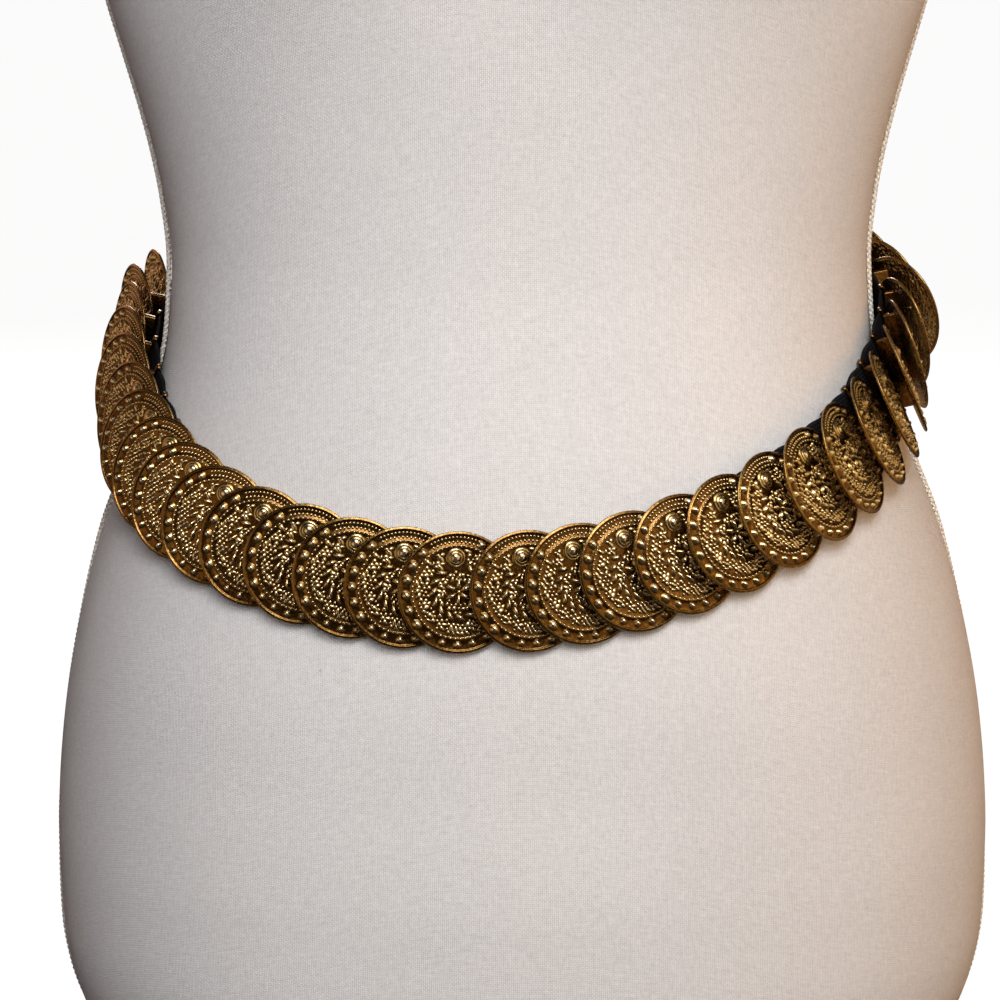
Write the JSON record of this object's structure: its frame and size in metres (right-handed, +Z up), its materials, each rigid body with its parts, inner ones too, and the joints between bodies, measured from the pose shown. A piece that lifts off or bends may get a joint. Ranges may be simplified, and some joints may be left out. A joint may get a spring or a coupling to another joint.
{
  "type": "coin belt on a limbless dress form",
  "caption": "Stretch belt of overlapping stamped metal discs on a wide black elastic with a hidden hook clasp, worn slantwise on a standing limbless dress form.",
  "frame": {"origin": "middle of the whole part's box at the flat base of the dress form", "axes": "+Z up the dress form, the front of the form faces -Y, +X to the right of someone looking at the front"},
  "size_m": [0.352, 0.2632, 0.747],
  "materials": {
    "linen": "matt plain woven linen cover, ivory",
    "braid": "matt twisted cotton gimp, cream",
    "elastic": "matt ribbed elastic, black",
    "antique_brass": "satin, darkened in the hollows and rubbed bright on the raised work"
  },
  "bodies": {
    "root": {"form_torso": "linen", "seam_braid_right": "braid", "seam_braid_left": "braid", "elastic_band": "elastic", "clasp_loop": "antique_brass", "clasp_hook": "antique_brass", "disc_01": "antique_brass", "disc_02": "antique_brass", "disc_03": "antique_brass", "disc_04": "antique_brass", "disc_05": "antique_brass", "disc_06": "antique_brass", "disc_07": "antique_brass", "disc_08": "antique_brass", "disc_09": "antique_brass", "disc_10": "antique_brass", "disc_11": "antique_brass", "disc_12": "antique_brass", "disc_13": "antique_brass", "disc_14": "antique_brass", "disc_15": "antique_brass", "disc_16": "antique_brass", "disc_17": "antique_brass", "disc_18": "antique_brass", "disc_19": "antique_brass", "disc_20": "antique_brass", "disc_21": "antique_brass", "disc_22": "antique_brass", "disc_23": "antique_brass", "disc_24": "antique_brass", "disc_25": "antique_brass", "disc_26": "antique_brass", "disc_27": "antique_brass", "disc_28": "antique_brass", "disc_29": "antique_brass", "disc_30": "antique_brass", "disc_31": "antique_brass", "disc_32": "antique_brass", "disc_33": "antique_brass", "disc_34": "antique_brass", "disc_35": "antique_brass", "disc_36": "antique_brass", "disc_37": "antique_brass", "disc_38": "antique_brass", "disc_39": "antique_brass", "disc_40": "antique_brass", "disc_41": "antique_brass", "disc_42": "antique_brass", "disc_43": "antique_brass", "disc_44": "antique_brass", "disc_45": "antique_brass", "disc_46": "antique_brass"}
  },
  "joints": []
}
